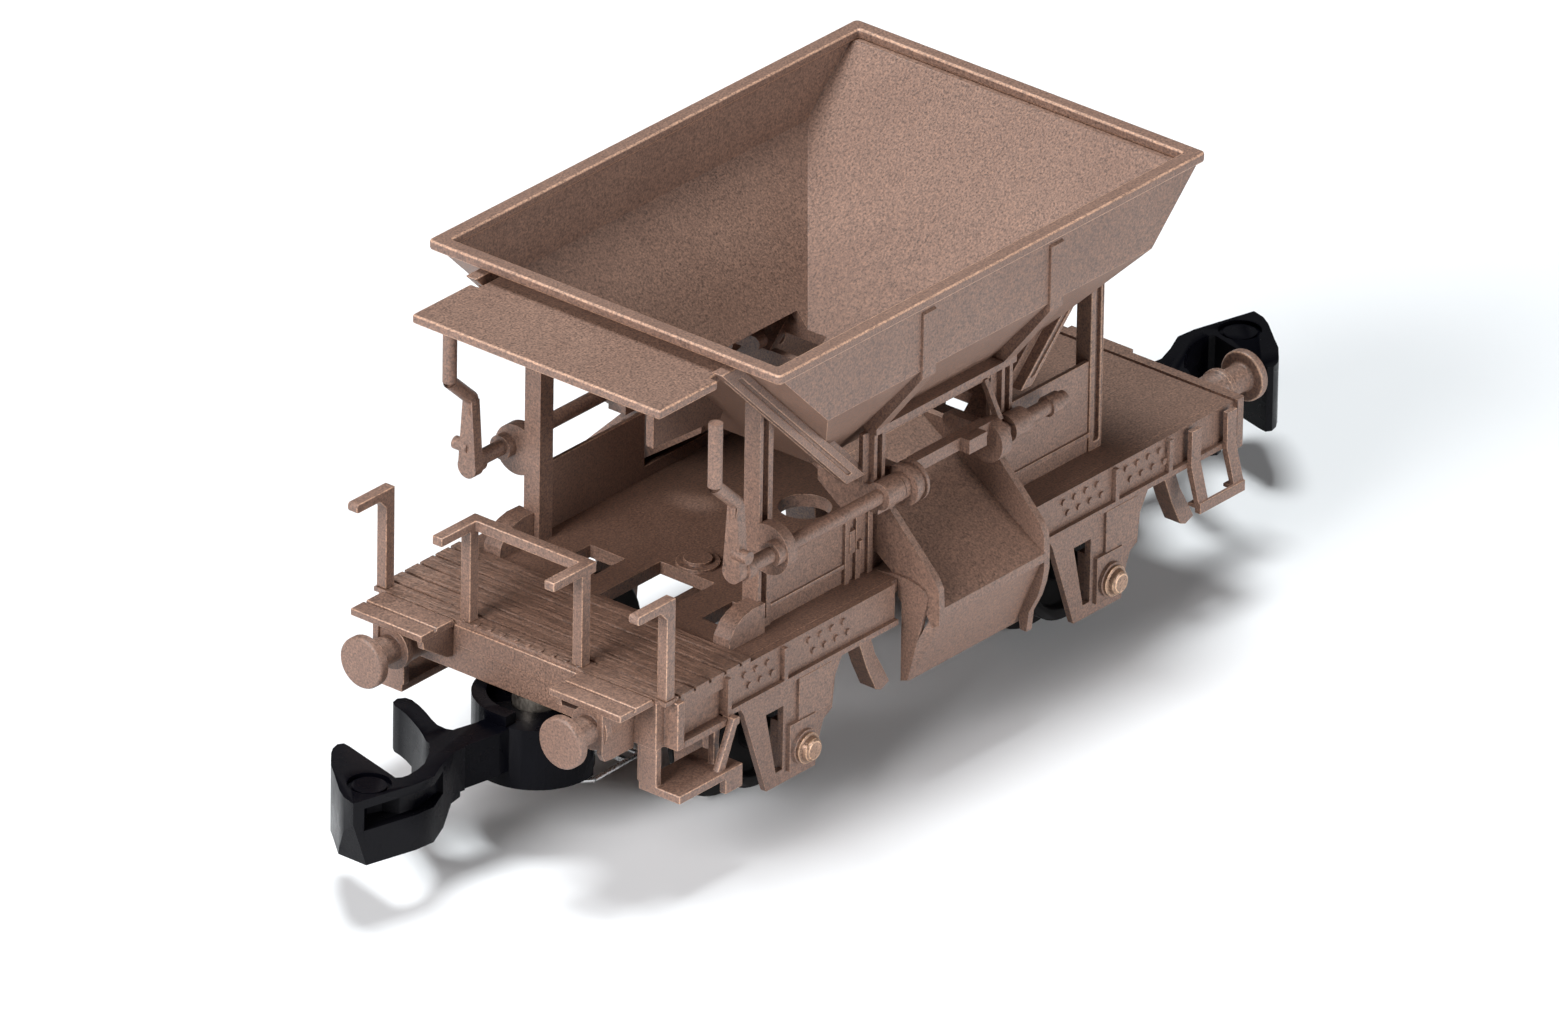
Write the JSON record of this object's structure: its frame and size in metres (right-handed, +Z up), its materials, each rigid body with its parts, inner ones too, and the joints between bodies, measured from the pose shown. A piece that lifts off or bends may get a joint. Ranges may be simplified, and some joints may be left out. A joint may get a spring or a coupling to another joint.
{
  "type": "model hopper car",
  "caption": "Model railway hopper car with sloped hopper, side chutes, brakeman's platform with canopy, buffers, wheelsets and hook couplers.",
  "frame": {"origin": "under the middle of the car, on its centre line, level with the lowest point of the wheel flanges", "axes": "+X along the track towards the plain end (the platform end is at -X), +Y across, +Z up"},
  "size_m": [0.0602, 0.0198, 0.0228],
  "materials": {
    "body_brown": "matt, fine grain",
    "chassis_brown": "matt paint on die-cast metal",
    "coupler_black": "satin moulded plastic",
    "wheel_black": "chemically blackened brass",
    "axle_steel": "turned steel",
    "pin_metal": "matt paint",
    "spring_wire": "bright drawn wire"
  },
  "bodies": {
    "frame": {"axle_guard_front_left": "body_brown", "axle_guard_front_right": "body_brown", "axle_guard_rear_left": "body_brown", "axle_guard_rear_right": "body_brown", "brake_gear_front": "body_brown", "brake_gear_rear": "body_brown", "buffer_front_left": "body_brown", "buffer_front_right": "body_brown", "buffer_pad_left": "body_brown", "buffer_pad_right": "body_brown", "buffer_rear_left": "body_brown", "buffer_rear_right": "body_brown", "canopy": "body_brown", "chute_left": "body_brown", "chute_right": "body_brown", "coupler_pin_front": "pin_metal", "coupler_pin_rear": "pin_metal", "coupler_spring_front": "spring_wire", "coupler_spring_rear": "spring_wire", "deck": "chassis_brown", "end_channel_front_left": "body_brown", "end_channel_front_right": "body_brown", "end_channel_rear_left": "body_brown", "end_channel_rear_right": "body_brown", "flap_shaft_left": "body_brown", "flap_shaft_right": "body_brown", "handrail_left": "body_brown", "handrail_middle": "body_brown", "handrail_right": "body_brown", "headstock_front": "chassis_brown", "headstock_rear": "chassis_brown", "hopper_rim": "body_brown", "hopper_tub": "body_brown", "lever_left": "body_brown", "lever_right": "body_brown", "plank_platform": "body_brown", "post_front_left": "body_brown", "post_front_right": "body_brown", "post_rear_left": "body_brown", "post_rear_right": "body_brown", "saddle": "body_brown", "side_bracing_left": "body_brown", "side_bracing_right": "body_brown", "side_sheet_left": "body_brown", "side_sheet_right": "body_brown", "sole_bar_left": "chassis_brown", "sole_bar_right": "chassis_brown", "step_front_left": "body_brown", "step_front_right": "body_brown", "step_rear_left": "body_brown", "step_rear_right": "body_brown"},
    "wheelset_front": {"axle_front": "axle_steel", "wheel_front_left": "wheel_black", "wheel_front_right": "wheel_black"},
    "wheelset_rear": {"axle_rear": "axle_steel", "wheel_rear_left": "wheel_black", "wheel_rear_right": "wheel_black"},
    "coupler_arm_front": {"coupler_front": "coupler_black"},
    "coupler_arm_rear": {"coupler_rear": "coupler_black"}
  },
  "joints": [
    {"name": "wheelset_front_spin", "type": "hinge", "parent": "frame", "child": "wheelset_front", "pos_m": [-0.01034, 0, 0.0037], "axis": [0, 1, 0], "continuous": true},
    {"name": "wheelset_rear_spin", "type": "hinge", "parent": "frame", "child": "wheelset_rear", "pos_m": [0.00998, 0, 0.0037], "axis": [0, 1, 0], "continuous": true},
    {"name": "coupler_front_swing", "type": "hinge", "parent": "frame", "child": "coupler_arm_front", "pos_m": [-0.01805, 0, 0.0049], "axis": [0, 0, 1], "range_deg": [-12, 12], "stiffness_Nm_per_rad": 0.0008},
    {"name": "coupler_rear_swing", "type": "hinge", "parent": "frame", "child": "coupler_arm_rear", "pos_m": [0.01805, 0, 0.0049], "axis": [0, 0, 1], "range_deg": [-12, 12], "stiffness_Nm_per_rad": 0.0008}
  ]
}
